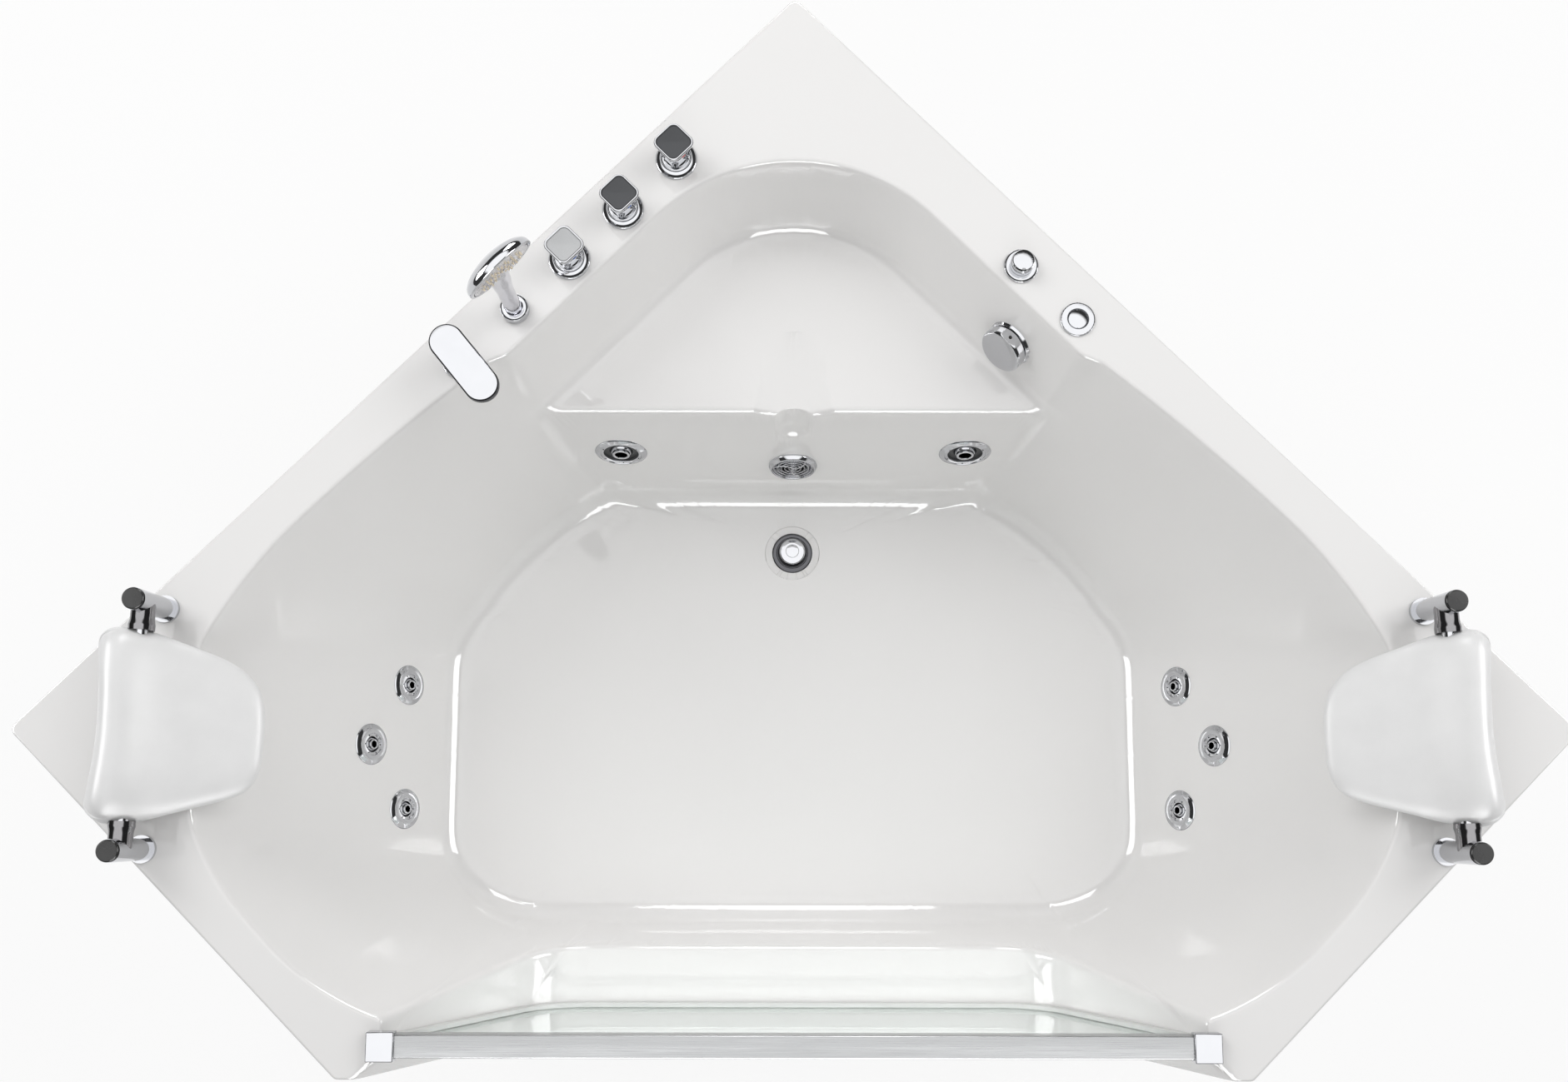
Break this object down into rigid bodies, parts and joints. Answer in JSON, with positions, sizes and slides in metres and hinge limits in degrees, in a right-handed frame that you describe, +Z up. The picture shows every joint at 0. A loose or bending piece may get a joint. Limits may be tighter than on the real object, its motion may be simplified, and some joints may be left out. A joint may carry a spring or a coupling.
{
  "type": "jetted bathtub",
  "caption": "Corner jetted bathtub with a glass front, rear corner seat, water jets in both backrests, head pillows, deck taps, spout and hand shower.",
  "frame": {"origin": "middle of the footprint, on the ground", "axes": "+X to the right along the glass front, +Y from the glass front to the wall corner, +Z up"},
  "size_m": [2.1122, 1.5151, 0.8363],
  "materials": {
    "acrylic": "high-gloss white sanitary acrylic",
    "skirt_acrylic": "high-gloss white acrylic sheet",
    "window_glass": "clear toughened glass, polished edges",
    "window_seal": "pale translucent silicone channel",
    "brushed_rail": "stainless steel brushed along its length",
    "chrome_trim": "polished chrome",
    "tap_finish": "polished sides, satin top",
    "post_cap": "black gloss plastic",
    "spray_face": "translucent plastic",
    "pillow_skin": "satin white moulded polyurethane skin over foam",
    "painted_frame": "powder-coated steel",
    "board": "raw chipboard",
    "foot_rubber": "black rubber",
    "zinc_steel": "zinc-plated steel",
    "pipe_plastic": "white pressure pipe",
    "hose_plastic": "clear grey air hose",
    "cable_sheath": "black sheath",
    "valve_brass": "raw brass",
    "pipe_metal": "copper pipe",
    "motor_paint": "dark painted aluminium",
    "pump_plastic": "black glass-filled plastic"
  },
  "bodies": {
    "root": {"tub_shell": "acrylic", "window_glass": "window_glass", "window_seal": "window_seal", "top_rail": "brushed_rail", "rail_brackets": "chrome_trim", "right_panel": "skirt_acrylic", "left_panel": "skirt_acrylic", "front_panel": "skirt_acrylic", "base_board": "board", "support_frame": "painted_frame", "foot_pads": "foot_rubber", "foot_studs": "zinc_steel", "foot_nuts": "zinc_steel", "side_jet_faces": "chrome_trim", "side_jet_bodies": "pipe_plastic", "seat_jet_faces": "chrome_trim", "seat_jet_bodies": "pipe_plastic", "suction_body": "chrome_trim", "suction_grille": "chrome_trim", "drain_flange": "chrome_trim", "drain_trap": "pipe_plastic", "overflow_body": "pipe_plastic", "tap_flanges": "chrome_trim", "valve_bodies": "valve_brass", "mixer_pipe": "pipe_metal", "spout_base": "chrome_trim", "spout": "chrome_trim", "shower_holder": "chrome_trim", "air_control_base": "chrome_trim", "air_button_housing": "chrome_trim", "pillow_posts": "chrome_trim", "post_caps": "post_cap", "pump_motor": "motor_paint", "pump_volute": "pump_plastic", "pump_cradle": "painted_frame", "water_pipe": "pipe_plastic", "air_pipe": "hose_plastic", "suction_pipe": "pipe_plastic", "pump_outlet_pipe": "pipe_plastic", "overflow_pipe": "pipe_plastic", "popup_cable": "cable_sheath"},
    "hot_tap": {"hot_tap_handle": "tap_finish"},
    "cold_tap": {"cold_tap_handle": "tap_finish"},
    "diverter": {"diverter_handle": "tap_finish"},
    "overflow_knob": {"overflow_knob": "chrome_trim"},
    "drain_plug": {"drain_plug": "chrome_trim"},
    "air_knob": {"air_knob": "chrome_trim"},
    "air_button": {"air_button": "chrome_trim"},
    "hand_shower": {"hand_shower": "chrome_trim", "shower_spray_face": "spray_face"},
    "left_rear_jet": {"left_rear_jet_nozzle": "chrome_trim"},
    "left_middle_jet": {"left_middle_jet_nozzle": "chrome_trim"},
    "left_front_jet": {"left_front_jet_nozzle": "chrome_trim"},
    "right_rear_jet": {"right_rear_jet_nozzle": "chrome_trim"},
    "right_middle_jet": {"right_middle_jet_nozzle": "chrome_trim"},
    "right_front_jet": {"right_front_jet_nozzle": "chrome_trim"},
    "seat_left_jet": {"seat_left_jet_nozzle": "chrome_trim"},
    "seat_right_jet": {"seat_right_jet_nozzle": "chrome_trim"},
    "left_pillow": {"left_pillow": "pillow_skin"},
    "right_pillow": {"right_pillow": "pillow_skin"}
  },
  "joints": [
    {"name": "hot_tap_turn", "type": "hinge", "parent": "root", "child": "hot_tap", "pos_m": [-0.16829, 0.51321, 0.62], "axis": [0, 0, 1], "range_deg": [0, 90]},
    {"name": "cold_tap_turn", "type": "hinge", "parent": "root", "child": "cold_tap", "pos_m": [-0.24254, 0.43896, 0.62], "axis": [0, 0, 1], "range_deg": [0, 90]},
    {"name": "diverter_turn", "type": "hinge", "parent": "root", "child": "diverter", "pos_m": [-0.31678, 0.36471, 0.62], "axis": [0, 0, 1], "range_deg": [0, 90]},
    {"name": "overflow_knob_turn", "type": "hinge", "parent": "root", "child": "overflow_knob", "pos_m": [0.31759, 0.28066, 0.53], "axis": [-0.6904, -0.6904, 0.2163], "range_deg": [0, 75]},
    {"name": "drain_plug_lift", "type": "slide", "parent": "root", "child": "drain_plug", "axis": [0, 0, 1], "range_m": [-0.0089, 0]},
    {"name": "air_knob_turn", "type": "hinge", "parent": "root", "child": "air_knob", "pos_m": [0.3182, 0.35623, 0.62], "axis": [0, 0, 1], "range_deg": [0, 180]},
    {"name": "air_button_press", "type": "slide", "parent": "root", "child": "air_button", "axis": [0, 0, -1], "range_m": [0, 0.0028], "stiffness_N_per_m": 500, "springref_m": -0.001},
    {"name": "hand_shower_lift", "type": "slide", "parent": "root", "child": "hand_shower", "axis": [0, 0, 1], "range_m": [0, 0.12]},
    {"name": "left_rear_jet_tilt", "type": "hinge", "parent": "root", "child": "left_rear_jet", "pos_m": [-0.63495, -0.20055, 0.26776], "axis": [0, 1, 0], "range_deg": [-12, 12]},
    {"name": "left_middle_jet_tilt", "type": "hinge", "parent": "root", "child": "left_middle_jet", "pos_m": [-0.67046, -0.30155, 0.33576], "axis": [0, 1, 0], "range_deg": [-12, 12]},
    {"name": "left_front_jet_tilt", "type": "hinge", "parent": "root", "child": "left_front_jet", "pos_m": [-0.63495, -0.40255, 0.26776], "axis": [0, 1, 0], "range_deg": [-12, 12]},
    {"name": "right_rear_jet_tilt", "type": "hinge", "parent": "root", "child": "right_rear_jet", "pos_m": [0.63495, -0.20055, 0.26776], "axis": [0, 1, 0], "range_deg": [-12, 12]},
    {"name": "right_middle_jet_tilt", "type": "hinge", "parent": "root", "child": "right_middle_jet", "pos_m": [0.67046, -0.30155, 0.33576], "axis": [0, 1, 0], "range_deg": [-12, 12]},
    {"name": "right_front_jet_tilt", "type": "hinge", "parent": "root", "child": "right_front_jet", "pos_m": [0.63495, -0.40255, 0.26776], "axis": [0, 1, 0], "range_deg": [-12, 12]},
    {"name": "seat_left_jet_tilt", "type": "hinge", "parent": "root", "child": "seat_left_jet", "pos_m": [-0.278, 0.17977, 0.33859], "axis": [1, 0, 0], "range_deg": [-12, 12]},
    {"name": "seat_right_jet_tilt", "type": "hinge", "parent": "root", "child": "seat_right_jet", "pos_m": [0.278, 0.17977, 0.33859], "axis": [1, 0, 0], "range_deg": [-12, 12]},
    {"name": "left_pillow_tilt", "type": "hinge", "parent": "root", "child": "left_pillow", "pos_m": [-0.8625, -0.29655, 0.678], "axis": [-0.0401, -0.9992, 0], "range_deg": [-4, 30]},
    {"name": "right_pillow_tilt", "type": "hinge", "parent": "root", "child": "right_pillow", "pos_m": [0.8625, -0.29655, 0.678], "axis": [-0.0401, 0.9992, 0], "range_deg": [-4, 30]}
  ],
  "couplings": [
    {"joint": "drain_plug_lift", "follows": "overflow_knob_turn", "m_per_rad": -0.0067227}
  ]
}
